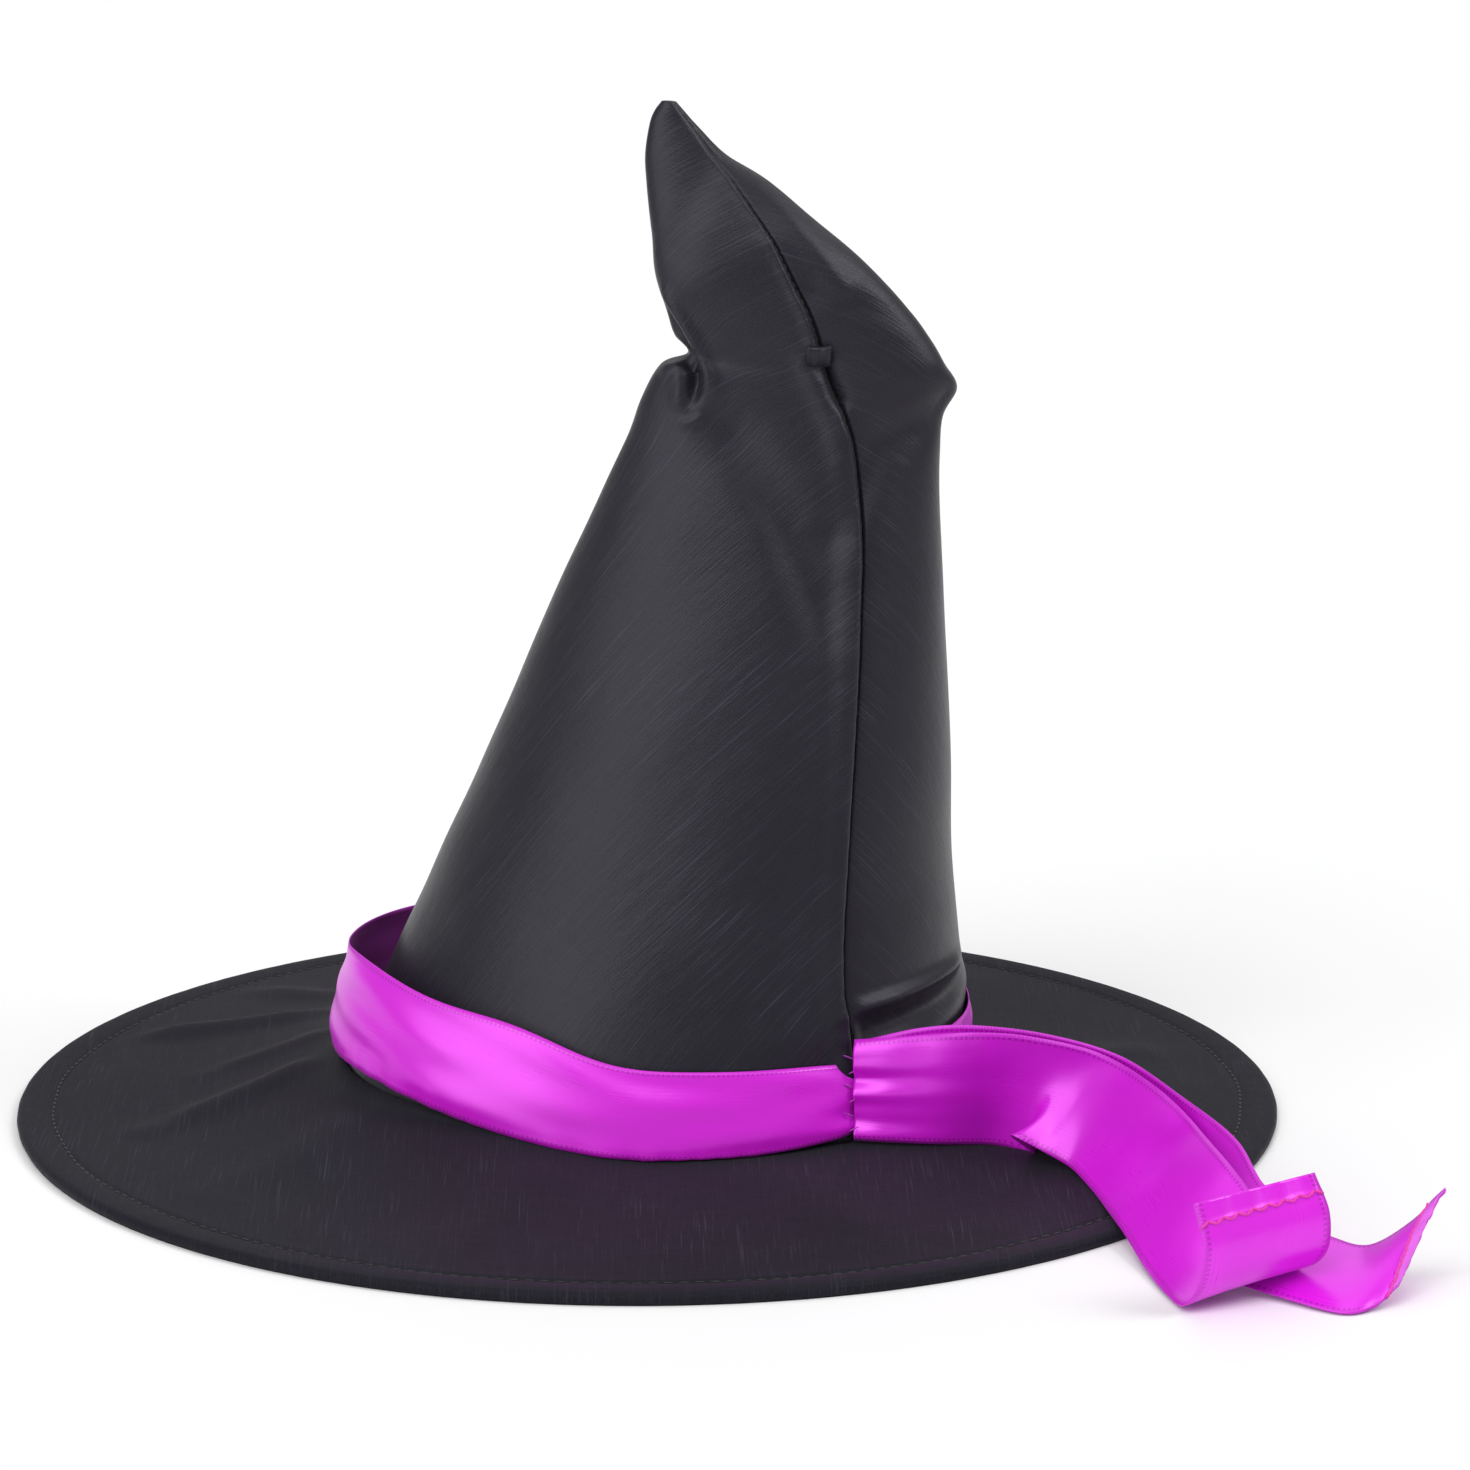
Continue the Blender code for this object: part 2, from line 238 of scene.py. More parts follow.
class Paint:
    # one material and its nodes

    def __init__(self, name, colour, roughness, **constants):
        self.material = bpy.data.materials.new(name)
        self.material.use_nodes = True
        self.tree = self.material.node_tree
        self.shader = self.tree.nodes["Principled BSDF"]
        self.shader.inputs["Base Color"].default_value = (*colour, 1)
        self.shader.inputs["Roughness"].default_value = roughness
        for key, value in constants.items():
            self.shader.inputs[key.replace("_", " ")].default_value = value

    def plug(self, socket, value):
        if isinstance(value, Value):
            value = value.socket
        if isinstance(value, bpy.types.NodeSocket):
            self.tree.links.new(value, socket)
        elif value is not None:
            socket.default_value = value

    def node(self, kind, settings=None, inputs=None):
        made = self.tree.nodes.new(kind)
        for key, value in (settings or {}).items():
            setattr(made, key, value)
        for key, value in (inputs or {}).items():
            self.plug(made.inputs[key], value)
        return made

    def value(self, node, output=0):
        return Value(self, node.outputs[output])

    def place(self, source, scale=(1, 1, 1), turn=(0, 0, 0)):
        # source is "Object", or the name of the piece's own map
        if source == "Object":
            made = self.node("ShaderNodeTexCoord").outputs["Object"]
        else:
            made = self.node("ShaderNodeUVMap", {"uv_map": source}).outputs[0]
        return self.node("ShaderNodeMapping", {}, {"Vector": made, "Scale": scale, "Rotation": turn}).outputs[0]

    def cloud(self, vector, scale, detail=2.0, roughness=0.5):
        made = self.node("ShaderNodeTexNoise", {}, {"Vector": vector, "Scale": scale,
                                                    "Detail": detail, "Roughness": roughness})
        return self.value(made, "Fac" if "Fac" in made.outputs else 0)

    def blendColours(self, factor, first, second):
        made = self.node("ShaderNodeMix", {"data_type": "RGBA"})
        self.plug(made.inputs["Factor"], factor)
        for key, value in (("A", first), ("B", second)):
            socket = [s for s in made.inputs if s.name == key and s.type == "RGBA"][0]
            self.plug(socket, (*value, 1) if isinstance(value, tuple) else value)
        return [s for s in made.outputs if s.type == "RGBA"][0]

    def colour(self, value):
        self.plug(self.shader.inputs["Base Color"], value)

    def rough(self, value):
        self.plug(self.shader.inputs["Roughness"], value)

    def relief(self, height, distance, strength=1.0):
        made = self.node("ShaderNodeBump", {}, {"Height": height, "Distance": distance * mm,
                                                "Strength": strength})
        self.plug(self.shader.inputs["Normal"], made.outputs[0])


satinValues = {
    "colour": (0.0085, 0.0081, 0.0120),
    "slubColour": (0.038, 0.037, 0.050),
    "tint": (0.93, 0.90, 1.0, 1.0),
    "roughness": 0.43,
    "smoothest": 0.31,
    "sheen": 0.035,
    "sheenRoughness": 0.45,
    "slubDensity": 1900,
    "slubStart": 0.56,
    "patchStart": 0.35,
    "depth": 0.32,
    # turn of the grain, added roughness and shine of each piece
    "crown": (math.radians(37), 0.0, 0.29),
    "brim": (0.3, 0.16, 0.05),
}

ribbonValues = {
    "colour": (0.740, 0.010, 0.760),
    "deepColour": (0.470, 0.002, 0.490),
    "edgeColour": (0.470, 0.003, 0.480),
    "roughness": 0.30,
    "metallic": 0.14,
    "reverseRoughness": 0.55,
    # the reverse side's colour is raised this far towards light grey: painted light, so the inside of the band and
    # the hems look lit
    "reversePaintedLight": 0.20,
    "shine": 0.85,
    "tint": (1.0, 0.85, 1.0, 1.0),
    "sheenTint": (1.0, 0.45, 1.0, 1.0),
    # metres, as the cut is measured
    "width": 0.038,
    "selvedge": 0.0012,
    "groove": 0.0022,
    "dashEvery": 0.0015,
    "cordEvery": 0.0009,
}


def blackSatin(name, turn, matt, shine):
    paint = Paint(name, satinValues["colour"], satinValues["roughness"],
                  Sheen_Weight=satinValues["sheen"], Sheen_Roughness=satinValues["sheenRoughness"],
                  Specular_IOR_Level=shine, Specular_Tint=satinValues["tint"])
    cut = satinValues["slubDensity"]
    threads = paint.cloud(paint.place("cut", (1, 0.018, 1), (0, 0, turn)), cut, 2.0, 0.55)
    weft = paint.cloud(paint.place("cut", (0.03, 1, 1), (0, 0, turn)), cut * 0.8, 1.0, 0.5)
    patches = paint.cloud(paint.place("cut"), 26, 3.0, 0.6)
    crinkle = paint.cloud(paint.place("cut", (1, 0.45, 1), (0, 0, turn)), 190, 3.0, 0.6)
    grain = paint.cloud(paint.place("cut"), 2600, 2.0, 0.7)
    brightThreads = ((threads - satinValues["slubStart"]) * 7.0).clipped()
    slubs = brightThreads * ((patches - satinValues["patchStart"]) * 3.0).clipped()
    amount = slubs * 0.85 + patches * 0.14 + (grain - 0.42).largest(0.0) * 1.1
    paint.colour(paint.blendColours(amount, satinValues["colour"], satinValues["slubColour"]))
    paint.rough(satinValues["smoothest"] + matt + patches * 0.14 + (weft - 0.5) * 0.08)
    height = threads * 0.6 + weft * 0.2 + grain * 0.35 + crinkle * 1.1 + patches * 1.5
    paint.relief(height, satinValues["depth"], 0.55)
    return paint.material


def ribbonSatin(name, roughness, metallic, paintedLight):
    # the last argument raises the colour towards light grey as painted light; the reverse side uses it to look lit
    # inside the band and on the hems
    face = tuple(min(1, c * (1 - paintedLight) + paintedLight * 0.45) for c in ribbonValues["colour"])
    paint = Paint(name, face, roughness, Sheen_Weight=0.12, Sheen_Roughness=0.35,
                  Sheen_Tint=ribbonValues["sheenTint"], Specular_IOR_Level=ribbonValues["shine"],
                  Specular_Tint=ribbonValues["tint"], Metallic=metallic)
    split = paint.node("ShaderNodeSeparateXYZ", {}, {0: paint.place("cut")})
    across, along = paint.value(split, 0), paint.value(split, 1)
    width = ribbonValues["width"]
    edge = across.smallest(width - across)
    selvedge = 1.0 - edge.above(ribbonValues["selvedge"])
    groove = edge.above(ribbonValues["selvedge"]) - edge.above(ribbonValues["groove"])
    dashes = (along.wave(math.tau / ribbonValues["dashEvery"])).above(-0.1) * groove
    fine = paint.cloud(paint.place("cut", (1, 0.02, 1)), 3800, 1.0, 0.5)
    body = paint.cloud(paint.place("cut", (1, 0.5, 1)), 55, 2.0, 0.5)
    tint = paint.blendColours((body - 0.35).largest(0.0) * 0.5, face, ribbonValues["deepColour"])
    tint = paint.blendColours(selvedge * 0.40 + dashes * 0.85, tint, ribbonValues["edgeColour"])
    paint.colour(tint)
    paint.rough(roughness - 0.05 + (fine - 0.5) * 0.10 + body * 0.10 + selvedge * 0.15)
    weave = fine * 0.25 - dashes * 0.9 + body * 0.8
    paint.relief(weave + selvedge * (0.4 + 0.4 * along.wave(math.tau / ribbonValues["cordEvery"])), 0.12, 0.6)
    return paint.material


def threadPaint(name, colour):
    paint = Paint(name, colour, 0.62, Sheen_Weight=0.15, Sheen_Roughness=0.4)
    twist = paint.cloud(paint.place("Object", (1, 1, 0.4), (0.6, 0.3, 0)), 2600, 1.0)
    dark, light = tuple(c * 0.65 for c in colour), tuple(min(1, c * 1.35) for c in colour)
    paint.colour(paint.blendColours(twist, dark, light))
    paint.relief(twist, 0.08)
    return paint.material


def feltPaint():
    paint = Paint("stiffener felt", (0.42, 0.41, 0.40), 0.95)
    fibre = paint.cloud(paint.place("Object"), 1400, 4.0, 0.7)
    blotch = paint.cloud(paint.place("Object"), 60, 2.0)
    paint.colour(paint.blendColours(fibre * 0.6 + blotch * 0.3, (0.34, 0.33, 0.32), (0.50, 0.49, 0.47)))
    paint.relief(fibre, 0.25, 0.7)
    return paint.material


def grosgrainPaint():
    paint = Paint("grosgrain", (0.028, 0.028, 0.034), 0.7, Sheen_Weight=0.1)
    split = paint.node("ShaderNodeSeparateXYZ", {}, {0: paint.place("cut")})
    ribs = paint.value(split, 1).wave(math.tau / 0.0009) * 0.5 + 0.5
    fleck = paint.cloud(paint.place("cut"), 900, 2.0)
    paint.colour(paint.blendColours(ribs * 0.6 + fleck * 0.3, (0.016, 0.016, 0.020), (0.045, 0.045, 0.052)))
    paint.relief(ribs + fleck * 0.3, 0.22)
    return paint.material


def labelPaint():
    paint = Paint("blank label tape", (0.74, 0.73, 0.70), 0.75, Sheen_Weight=0.1)
    weave = paint.cloud(paint.place("cut", (1, 0.1, 1)), 3000, 1.0)
    paint.colour(paint.blendColours(weave, (0.66, 0.65, 0.62), (0.80, 0.79, 0.77)))
    paint.relief(weave, 0.1)
    return paint.material


def plasticPaint(name, colour):
    paint = Paint(name, colour, 0.38)
    mould = paint.cloud(paint.place("Object"), 500, 2.0)
    paint.rough(0.32 + mould * 0.15)
    paint.colour(paint.blendColours(mould * 0.5, colour, tuple(c * 0.8 for c in colour)))
    paint.relief(mould, 0.03)
    return paint.material


crownSatin = blackSatin("crown satin", *satinValues["crown"])
brimSatin = blackSatin("brim satin", *satinValues["brim"])
purple = ribbonSatin("ribbon satin", ribbonValues["roughness"], ribbonValues["metallic"], 0.0)
# the reverse side is a lighter copy of the ribbon satin, painted lighter to stand in for light inside the band and
# on the hems
ribbonReversePaintedLight = ribbonSatin("ribbon reverse side painted lighter", ribbonValues["reverseRoughness"], 0.0,
                            ribbonValues["reversePaintedLight"])
blackThread = threadPaint("black thread", (0.006, 0.006, 0.007))
pinkThread = threadPaint("pink thread", (0.74, 0.03, 0.40))
purpleThread = threadPaint("purple thread", (0.45, 0.03, 0.50))
felt = feltPaint()
grosgrain = grosgrainPaint()
labelTape = labelPaint()
hoopPlastic = plasticPaint("hoop plastic", (0.72, 0.72, 0.70))
joinerPlastic = plasticPaint("joiner plastic", (0.22, 0.22, 0.23))
print("materials ready")


crownValues = {
    # foot to tip: left x, left z, right x, right z, half depth, centre y, seam x, roundness of the section
    "sections": [
        (-100, 8, 97, 8, 90, 0, 62, 1),
        (-92.5, 24.5, 98.5, 23, 84.5, 0, 63.5, 1),
        (-86, 39, 101.4, 39, 80, 0, 62.5, 1),
        (-79.6, 53, 99, 52, 75.5, 0, 59.8, 1),
        (-66, 82.5, 95.8, 81, 66.5, 0, 60.4, 1),
        (-45, 128.6, 95.3, 128, 51.5, 0, 63.8, 1),
        (-31, 159.5, 93.9, 159, 41, 0, 66, 1),
        (-17, 190, 92.8, 189, 30.5, 0, 67, 1),
        (-6.3, 213.6, 92.3, 209, 22.5, 0, 65.2, 0.95),
        (-1.6, 227, 92.6, 221, 18.5, 0, 61.5, 0.85),
        (4.5, 237.6, 96.6, 230, 16.5, 0, 57, 0.66),
        (12.4, 241, 92.8, 237, 15.6, 0, 55, 0.5),
        (8, 246.6, 88.6, 244.5, 15, 0, 53.2, 0.6),
        (5, 256, 81.6, 254.5, 14.6, 0.4, 50, 0.75),
        (2.2, 266.5, 71.4, 264.8, 13.5, 1.5, 45, 0.85),
        (1.2, 279, 57, 278, 11.5, 3.4, 38.2, 0.9),
        (0, 292.6, 38.4, 292.6, 8.4, 7.5, 28.2, 0.95),
        (-0.2, 301.5, 25.8, 301.3, 6.3, 9.6, 21.4, 1),
        (1.4, 310.5, 16.4, 310.2, 4.2, 11.4, 14.9, 1),
        (3, 314.6, 12.6, 314.4, 3.2, 12, 11.6, 1),
        (5.4, 317.8, 9.8, 317.6, 1.9, 12.2, 8.9, 1),
    ],
    "around": 240,
    "along": 270,
    # how strongly the columns crowd together at the seam
    "crowding": 0.84,
    "thickness": 0.32,
    "stiffenerGap": 1.3,
    "stiffenerThickness": 0.5,
    "coneAngle": math.radians(94),
    "slant": 350,
    "blendBelow": 26,
    "blendAbove": 34,
}

# lines in the front view, in millimetres, where the cloth is creased
pinchLine = [(2.6, 259), (6.2, 252.2), (9.6, 247), (12.8, 241.4), (15, 236), (14, 230), (12.4, 225.5)]
flapLine = [(3.6, 263), (6.4, 257.5), (9.8, 252.4), (13, 247), (16, 241.5), (18.8, 236), (20.5, 229)]
shoulderLine = [(3, 236), (8.5, 237.5), (11, 232), (9.5, 224)]
lipLine = [(10.5, 221.6), (13.5, 221.2), (17.5, 224)]
valleyLine = [(17, 229), (28, 215), (43, 195), (53, 170), (57, 150)]
tuckLine = [(50.5, 243), (54.5, 237.5), (58, 231), (61, 224)]
# each with its width and height
creases = [(pinchLine, 2.0, -4.6), (flapLine, 2.6, 2.1), (shoulderLine, 3.0, 1.2),
           (lipLine, 1.2, 0.9), (valleyLine, 9.0, -3.2), (tuckLine, 3.2, -2.4)]
crookFolds = [([(33, 300), (60, 262)], 4.0, 1.5), ([(20, 300), (8, 276)], 6.0, -1.4),
              ([(12, 262), (40, 276)], 7.0, 0.9), ([(52, 262), (78, 250)], 5.0, -1.3)]
cornerHollow = ([(93, 226), (72, 214), (60, 190)], 7.0, -2.2)

# millimetres from the seam, widths and heights
seamRoll = {
    "lip": (4.5, 4.4, 1.9),
    "edge": (1.6, 2.4, 0.9),
    "stepReach": 8,
    "stepDepth": 1.5,
    "grooveWidth": 0.9,
    "grooveDepth": 1.5,
    "pucker": 0.14,
}

# where the right panel rolls over the ribbon: height at x = 60, slope, then (drop, width, height)
bandRoll = {"level": 46.5, "slope": 0.1, "roll": (0, 2.6, 2.7), "hollow": (8, 5.5, 3.4)}
slack = {"broad": 0.75, "fine": 0.22}


def crownGrid():
    values = crownValues
    stations = np.array(values["sections"], float)
    places = np.linspace(0, len(stations) - 1, values["along"])
    rows = throughPoints(stations, places)
    left, right = rows[:, 0:2], rows[:, 2:4]
    middle = (left + right) / 2
    half = (right - left) / 2
    halfLength = np.hypot(half[:, 0], half[:, 1])
    seamTurn = -np.arccos(np.clip((rows[:, 6] - middle[:, 0]) / halfLength, -0.98, 0.98))
    share = np.linspace(0, 1, values["around"])
    share = share - values["crowding"] / math.tau * np.sin(math.tau * share)
    turn = seamTurn[:, None] - math.tau * share[None, :]
    points = np.empty((len(rows), len(share), 3))
    points[..., 0] = middle[:, 0:1] + half[:, 0:1] * np.cos(turn)
    points[..., 2] = middle[:, 1:2] + half[:, 1:2] * np.cos(turn)
    bulge = np.sign(np.sin(turn)) * np.abs(np.sin(turn)) ** rows[:, 7:8]
    points[..., 1] = rows[:, 5:6] + rows[:, 4:5] * bulge
    return points, turn, places, share


def crownRelief(points, turn, places):
    x, z = points[..., 0], points[..., 2]
    steps = np.linalg.norm(np.diff(points, axis=1), axis=2)
    fromLeft = np.concatenate([np.zeros((len(points), 1)), np.cumsum(steps, axis=1)], axis=1)
    toRight = fromLeft[:, -1:] - fromLeft
    front = ramp(-np.sin(turn), 0.0, 0.35)
    upper = ramp(z, 236, 250)
    slim = np.clip((318 - z) / 60, 0.12, 1)
    # the seam: the left edge rolls over a stitched groove, and the right panel lies lower
    fromSeam = np.minimum(fromLeft, toRight)
    lipAt, lipWidth, lipHeight = seamRoll["lip"]
    edgeAt, edgeWidth, edgeHeight = seamRoll["edge"]
    lip = (lipHeight * bell(fromLeft - lipAt, lipWidth) * (1 - upper)
           + edgeHeight * bell(fromLeft - edgeAt, edgeWidth))
    step = -seamRoll["stepDepth"] * np.exp(-toRight / seamRoll["stepReach"])
    relief = (lip + step - seamRoll["grooveDepth"] * bell(fromSeam, seamRoll["grooveWidth"])) * slim
    relief += seamRoll["pucker"] * np.sin(z * 0.9 + 2 * np.sin(z * 0.13)) * bell(fromLeft - 2, 4) * slim
    # the pinch and the cloth that rolls over it
    for line, width, height in creases:
        away, along = nearLine(x, z, line)
        relief += height * bell(away, width) * ramp(along, -0.05, 0.2) * ramp(1 - along, -0.05, 0.25) * front
    # the right panel rolls over the ribbon, then tucks in behind it
    rightSide = ramp(np.cos(turn), 0.45, 0.75) * ramp(toRight, 0.0, 6.0) * front
    rollTop = z - bandRoll["level"] - bandRoll["slope"] * (x - 60)
    rollDrop, rollWidth, rollHeight = bandRoll["roll"]
    hollowDrop, hollowWidth, hollowDepth = bandRoll["hollow"]
    relief += rightSide * (rollHeight * bell(rollTop + rollDrop, rollWidth)
                           - hollowDepth * bell(rollTop + hollowDrop, hollowWidth))
    # the cloth is a little slack on the stiffener
    calm = ramp(z, 10, 60) * slim
    relief += calm * (slack["broad"] * ripple(waves(3, 6, 0.012, 0.045), x, z)
                      + slack["fine"] * ripple(waves(8, 7, 0.07, 0.16), x, z))
    # soft folds across the crook and under the outer corner
    crook = ramp(z, 246, 262) * slim
    relief += crook * sum(height * bell(nearLine(x, z, line)[0], width) for line, width, height in crookFolds)
    line, width, height = cornerHollow
    relief += front * height * bell(nearLine(x, z, line)[0], width)
    return relief


def flatCone(places, share):
    # where each point lies in the flat cut, a sector of a disc
    values = crownValues
    rise = lengthAlong(basePoints[:, -len(share) // 2])
    radius = values["slant"] * (1 - rise / rise[-1]) * mm + 0.002
    turn = (share - 0.5) * values["coneAngle"]
    return radius[:, None, None] * np.stack([np.sin(turn), np.cos(turn)], axis=1)[None]


def bendAtFold(piece):
    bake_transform(piece)


def closeTip(piece, rows, cols):
    # the tip is sewn shut: the last ring is drawn to one point
    bm = bmesh.new()
    bm.from_mesh(piece.data)
    bm.verts.ensure_lookup_table()
    ring = [bm.verts[(rows - 1) * cols + j] for j in range(cols)]
    bmesh.ops.pointmerge(bm, verts=ring, merge_co=sum((v.co for v in ring), Vector()) / cols)
    bm.to_mesh(piece.data)
    bm.free()


def joinSeam(piece):
    bm = bmesh.new()
    bm.from_mesh(piece.data)
    bmesh.ops.remove_doubles(bm, verts=bm.verts, dist=1e-6)
    bm.to_mesh(piece.data)
    bm.free()
    piece.data.shade_smooth()


basePoints, baseTurn, basePlaces, baseShare = crownGrid()
baseNormals = gridNormals(basePoints[:, :-1], True)
baseNormals = np.concatenate([baseNormals, baseNormals[:, :1]], axis=1)
outwardSign = np.sign(np.sum(baseNormals[60, :, 1] * basePoints[60, :, 1]))
baseNormals = baseNormals * outwardSign
reliefHeight = crownRelief(basePoints, baseTurn, basePlaces)
reliefHeight[:, -1] = reliefHeight[:, 0] = (reliefHeight[:, 0] + reliefHeight[:, -1]) / 2
crownSurface = basePoints + baseNormals * reliefHeight[..., None]
flatCut = flatCone(basePlaces, baseShare)


def buildCrown():
    piece = sheetFromGrid("crown_satin", crownSurface[:, ::-1] if outwardSign < 0 else crownSurface, flatCut)
    closeTip(piece, *crownSurface.shape[:2])
    joinSeam(piece)
    giveThickness(piece, crownValues["thickness"])
    piece.data.materials.append(crownSatin)
    bendAtFold(piece)
    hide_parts("crown_lower", "crown_crook")


def buildStiffener():
    # half as fine as the satin, and it stops short of the tip
    depth = np.minimum(reliefHeight, 0) - crownValues["stiffenerGap"]
    inside = basePoints + baseNormals * depth[..., None]
    inside = inside[:-14:2, ::2]
    cut = flatCut[:-14:2, ::2]
    piece = sheetFromGrid("crown_stiffener", inside[:, ::-1] if outwardSign < 0 else inside, cut)
    joinSeam(piece)
    giveThickness(piece, crownValues["stiffenerThickness"])
    piece.data.materials.append(felt)
    bendAtFold(piece)
    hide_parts("crown_interlining_lower", "crown_interlining_crook")


seamStitches = {"size": (2.3, 0.45, 0.4), "every": 3.0, "fromFoot": 4.0, "fromTip": 5, "proud": 0.12}


def buildSeamStitches():
    # small stitches that show in the groove of the seam
    line = crownSurface[:, 0]
    gaps = lengthAlong(line)
    spots = np.arange(seamStitches["fromFoot"], gaps[-1] - seamStitches["fromTip"], seamStitches["every"])
    spot = readAlong(line, gaps, spots)
    ahead = readAlong(line, gaps, spots + 0.6) - spot
    out = readAlong(baseNormals[:, 0], gaps, spots)
    places = [(p + n * seamStitches["proud"], d, n) for p, d, n in zip(spot, ahead, out)]
    piece = threadPiece("seam_stitches", places, seamStitches["size"], blackThread)
    bendAtFold(piece)
    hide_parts("crown_seam_lower", "crown_seam_crook")


tuckTab = {
    "middle": (53.2, 244.4),
    "width": 7.4,
    "thickness": 0.5,
    "columns": 15,
    "rows": 22,
    # across the tuck: slant, waviness and sag
    "slant": 1.1,
    "wave": 0.35,
    "sag": 2.0,
    # out from the seam and up, in millimetres
    "profile": [(-1.4, -0.9), (0.6, -0.1), (2.2, 0.1), (2.9, -0.7), (2.6, -2.6), (1.8, -4.6), (0.8, -6.0)],
}


def buildTab():
    # a tuck of the seam's cloth at the fold: it comes out of the seam, turns over and hangs down
    across, down = tuckTab["columns"], tuckTab["profile"]
    front = crownSurface[..., 1] < crownSurface[..., 1].mean()
    gap = np.hypot(crownSurface[..., 0] - tuckTab["middle"][0], crownSurface[..., 2] - tuckTab["middle"][1])
    spot = crownSurface.reshape(-1, 3)[np.argmin(np.where(front, gap, 1e9))]
    outline = throughPoints(down, np.linspace(0, len(down) - 1, tuckTab["rows"]))
    share = np.linspace(-0.5, 0.5, across)
    points = np.empty((len(outline), across, 3))
    points[..., 0] = spot[0] + tuckTab["width"] * share[None, :] + 0.05 * outline[:, 1:2]
    points[..., 1] = spot[1] - outline[:, 0:1] + (tuckTab["slant"] * share + tuckTab["wave"] * np.cos(share * 9))
    points[..., 2] = spot[2] + outline[:, 1:2] + tuckTab["sag"] * share ** 2
    flat = np.stack([points[..., 0], points[..., 2]], axis=-1) * mm
    piece = sheetFromGrid("seam_tuck", points, flat)
    giveThickness(piece, tuckTab["thickness"], offset=0)
    piece.data.materials.append(crownSatin)
    bendAtFold(piece)
    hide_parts("seam_tab")


buildCrown()
buildStiffener()
buildSeamStitches()
buildTab()
print("cone ready")


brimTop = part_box("brim_top")
brimValues = {
    "radius": brimTop[1][0] / mm,
    "stitchRadius": 189,
    "stackTop": 3.1,
    "rise": 4.6,
    "flatFrom": 0.87,
    "holeX": 97.3,
    "holeY": 86.8,
    "around": 288,
    "thickness": 0.3,
    "lift": 9.0,
    "liftReach": 0.62,
    # the hem rolls down over the hoop: radius of the roll, its inset from the rim and its drop
    "roll": (1.55, 1.7, 1.35),
    "puckers": 96,
    "stitchSize": (3.0, 0.8, 0.4),
    "stitchEvery": 4.4,
    # soft ridges of the slack top skin: start and end in plan, width and height
    "ridges": [
        ((-100, 75), (-182, 60), 6.5, 2.8),
        ((-97, 38), (-142, 6), 6, 1.6),
        ((-90, 8), (-155, -46), 7, 2.9),
        ((-98, 99), (-150, 127), 7, 2.0),
        ((-80, -50), (-130, -112), 11, 1.0),
        ((-30, -92), (-62, -168), 13, 0.9),
        ((40, -92), (66, -160), 12, 0.8),
        ((118, 20), (176, 40), 10, 1.2),
        ((70, 96), (104, 152), 12, 1.2),
        ((-20, 100), (-40, 170), 12, 1.3),
    ],
}


def brimPlan(shares, turn, rim):
    values = brimValues
    hole = np.stack([0.5 + values["holeX"] * np.cos(turn), values["holeY"] * np.sin(turn)], axis=-1)
    edge = np.stack([rim * np.cos(turn), rim * np.sin(turn)], axis=-1)
    return hole[None] * (1 - shares[:, None, None]) + edge[None] * shares[:, None, None]


def brimRise(shares):
    return brimValues["rise"] * np.clip(1 - shares / brimValues["flatFrom"], 0, 1) ** 1.2


def brimLift(x, y, shares):
    # the cone's foot pulls the skin up on its left
    side = ramp(-x / np.hypot(x, y), -0.05, 0.75)
    return brimValues["lift"] * side * np.clip(1 - shares / brimValues["liftReach"], 0, 1)[:, None] ** 1.7


def buildBrimTop():
    values = brimValues
    turn = np.linspace(0, math.tau, values["around"] + 1)
    inner = np.concatenate([np.linspace(0, 0.84, 46), np.linspace(0.85, 0.985, 26)])
    plan = brimPlan(inner, turn, values["radius"])
    x, y = plan[..., 0], plan[..., 1]
    radius = np.hypot(x, y)
    level = brimRise(inner)[:, None] + values["stackTop"] + np.zeros_like(x)
    loose = ramp(inner, 0.03, 0.18)[:, None] * (1 - ramp(radius, 168, 187))
    level += brimLift(x, y, inner)
    for start, end, width, height in values["ridges"]:
        away, along = nearLine(x, y, [start, end])
        fade = np.clip(np.sin(math.pi * np.clip(along, 0.05, 0.9)) * 1.4, 0, 1)
        level += loose * height * bell(away, width) * fade
    level += loose * 0.35 * (1 + ripple(waves(5, 6, 0.02, 0.07), x, y))
    # the hem is stitched down and puckers a little between the stitches and the rim
    turnField = turn[None, :] + np.zeros_like(x)
    pucker = np.sin(turnField * values["puckers"] + 3 * np.sin(turnField * 7))
    pucker = pucker * (0.5 + 0.5 * np.sin(turnField * 5 + 1))
    level += 0.16 * pucker * bell(radius - 194, 4.0) + 0.45 * bell(radius - 195.5, 4.2)
    level -= 0.5 * bell(radius - values["stitchRadius"], 1.4)
    grid = [np.dstack([x, y, level])]
    rollRadius, rollInset, rollDrop = values["roll"]
    for angle in np.radians(np.arange(72, -55, -18)):
        reach = values["radius"] - rollInset + rollRadius * math.cos(angle) + 0.05 * np.sin(turn * 60)
        height = values["stackTop"] - rollDrop + rollRadius * math.sin(angle) + 0 * turn
        grid.append(np.stack([reach * np.cos(turn), reach * np.sin(turn), height], axis=-1)[None])
    points = np.concatenate(grid, axis=0)
    flat = points[..., :2] * mm
    piece = sheetFromGrid("brim_top_skin", points[:, ::-1], flat[:, ::-1])
    joinSeam(piece)
    giveThickness(piece, values["thickness"], offset=1.0)
    piece.data.materials.append(brimSatin)
    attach(piece, "hat")
    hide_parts("brim_top")


